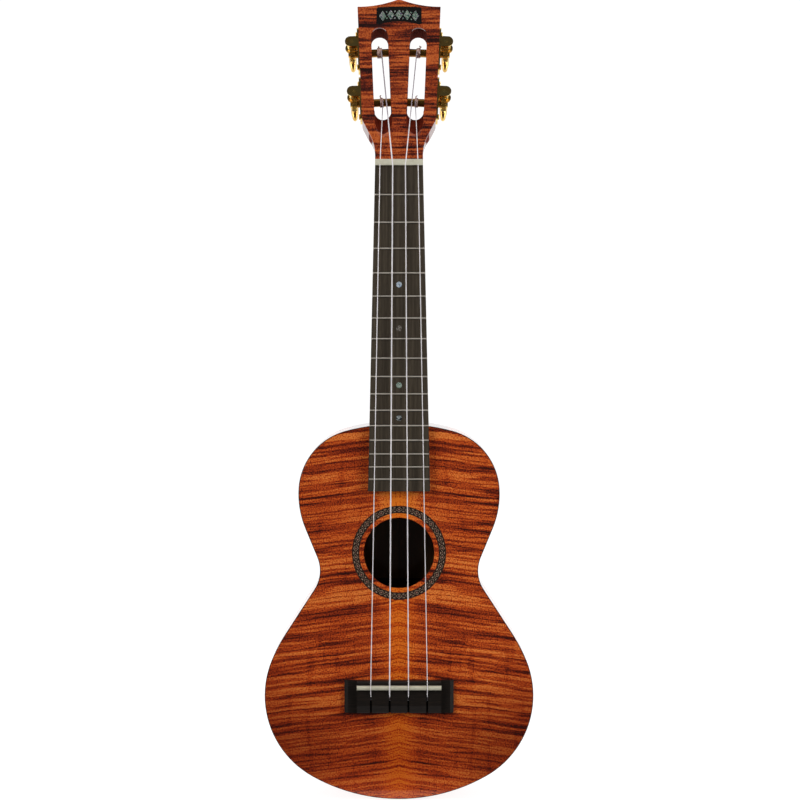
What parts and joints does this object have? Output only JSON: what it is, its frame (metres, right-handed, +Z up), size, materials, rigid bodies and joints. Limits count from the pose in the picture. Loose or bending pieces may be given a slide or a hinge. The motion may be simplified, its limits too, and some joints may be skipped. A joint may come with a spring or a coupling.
{
  "type": "ukulele",
  "caption": "Concert ukulele with a flamed-wood hourglass body, round soundhole with inlaid ring, slotted tilted headstock, open-geared gold side tuners and fretted neck with position dots.",
  "frame": {"origin": "On the centre line of the neck's glue plane, at the height where a wall hanger's two arms carry the headstock's shoulders, 12 mm above the line where the headstock breaks back.", "axes": "+Z up along the neck to the headstock, +Y from the soundboard to the back, +X to the right as seen from the front; X=0 is the plane of symmetry."},
  "size_m": [0.1984, 0.0777, 0.593],
  "materials": {
    "top_wood": "gloss",
    "body_wood": "gloss",
    "neck_wood": "gloss",
    "head_veneer": "gloss",
    "inside_wood": "satin",
    "fingerboard_wood": "satin",
    "bridge_wood": "satin",
    "bone": "satin",
    "nickel": "polished",
    "shell": "polished",
    "rosette_inlay": "gloss",
    "inlay_black": "gloss",
    "gold_plate": "polished",
    "gold_gear": "polished",
    "gold_worm": "polished",
    "gold_button": "polished",
    "gold_roller": "polished",
    "gold_screw": "polished",
    "nylon": "gloss",
    "bolt_steel": "plain"
  },
  "bodies": {
    "instrument": {"soundboard": "top_wood", "back_plate": "body_wood", "side_left": "body_wood", "side_right": "body_wood", "neck_block": "inside_wood", "tail_block": "inside_wood", "lining_front_left": "inside_wood", "lining_front_right": "inside_wood", "lining_back_left": "inside_wood", "lining_back_right": "inside_wood", "soundboard_braces": "inside_wood", "bridge_patch": "inside_wood", "back_braces": "inside_wood", "rosette": "rosette_inlay", "bridge": "bridge_wood", "saddle": "bone", "neck": "neck_wood", "neck_bolt": "bolt_steel", "headstock_veneer": "head_veneer", "crest_plate": "inlay_black", "crest_shells": "shell", "fingerboard": "fingerboard_wood", "frets": "nickel", "position_dots": "shell", "nut": "bone", "string_knots": "nylon", "string_g": "nylon", "string_c": "nylon", "string_e": "nylon", "string_a": "nylon", "tuner_mount_screws": "gold_screw", "tuner_plate_lower_left": "gold_plate", "tuner_plate_lower_right": "gold_plate", "tuner_plate_upper_left": "gold_plate", "tuner_plate_upper_right": "gold_plate"},
    "key_lower_left": {"worm_lower_left": "gold_worm", "button_lower_left": "gold_button"},
    "roller_lower_left": {"roller_lower_left": "gold_roller", "gear_lower_left": "gold_gear", "gear_screw_lower_left": "gold_screw", "winding_lower_left": "nylon"},
    "key_lower_right": {"worm_lower_right": "gold_worm", "button_lower_right": "gold_button"},
    "roller_lower_right": {"roller_lower_right": "gold_roller", "gear_lower_right": "gold_gear", "gear_screw_lower_right": "gold_screw", "winding_lower_right": "nylon"},
    "key_upper_left": {"worm_upper_left": "gold_worm", "button_upper_left": "gold_button"},
    "roller_upper_left": {"roller_upper_left": "gold_roller", "gear_upper_left": "gold_gear", "gear_screw_upper_left": "gold_screw", "winding_upper_left": "nylon"},
    "key_upper_right": {"worm_upper_right": "gold_worm", "button_upper_right": "gold_button"},
    "roller_upper_right": {"roller_upper_right": "gold_roller", "gear_upper_right": "gold_gear", "gear_screw_upper_right": "gold_screw", "winding_upper_right": "nylon"}
  },
  "joints": [
    {"name": "turn_key_lower_left", "type": "hinge", "parent": "instrument", "child": "key_lower_left", "pos_m": [-0.03342, 0.02236, 0.03805], "axis": [0, 0.9613, -0.2756], "continuous": true},
    {"name": "turn_roller_lower_left", "type": "hinge", "parent": "instrument", "child": "roller_lower_left", "pos_m": [-0.02792, 0.02036, 0.03106], "axis": [-0.9991, -0.0115, -0.0403], "continuous": true},
    {"name": "turn_key_lower_right", "type": "hinge", "parent": "instrument", "child": "key_lower_right", "pos_m": [0.03342, 0.02236, 0.03805], "axis": [0, 0.9613, -0.2756], "continuous": true},
    {"name": "turn_roller_lower_right", "type": "hinge", "parent": "instrument", "child": "roller_lower_right", "pos_m": [0.02792, 0.02036, 0.03106], "axis": [0.9991, -0.0115, -0.0403], "continuous": true},
    {"name": "turn_key_upper_left", "type": "hinge", "parent": "instrument", "child": "key_upper_left", "pos_m": [-0.03508, 0.03328, 0.07612], "axis": [0, 0.9613, -0.2756], "continuous": true},
    {"name": "turn_roller_upper_left", "type": "hinge", "parent": "instrument", "child": "roller_upper_left", "pos_m": [-0.02958, 0.03127, 0.06912], "axis": [-0.9991, -0.0115, -0.0403], "continuous": true},
    {"name": "turn_key_upper_right", "type": "hinge", "parent": "instrument", "child": "key_upper_right", "pos_m": [0.03508, 0.03328, 0.07612], "axis": [0, 0.9613, -0.2756], "continuous": true},
    {"name": "turn_roller_upper_right", "type": "hinge", "parent": "instrument", "child": "roller_upper_right", "pos_m": [0.02958, 0.03127, 0.06912], "axis": [0.9991, -0.0115, -0.0403], "continuous": true}
  ],
  "couplings": [
    {"joint": "turn_roller_lower_left", "follows": "turn_key_lower_left", "ratio": 0.071429},
    {"joint": "turn_roller_lower_right", "follows": "turn_key_lower_right", "ratio": 0.071429},
    {"joint": "turn_roller_upper_left", "follows": "turn_key_upper_left", "ratio": 0.071429},
    {"joint": "turn_roller_upper_right", "follows": "turn_key_upper_right", "ratio": 0.071429}
  ]
}
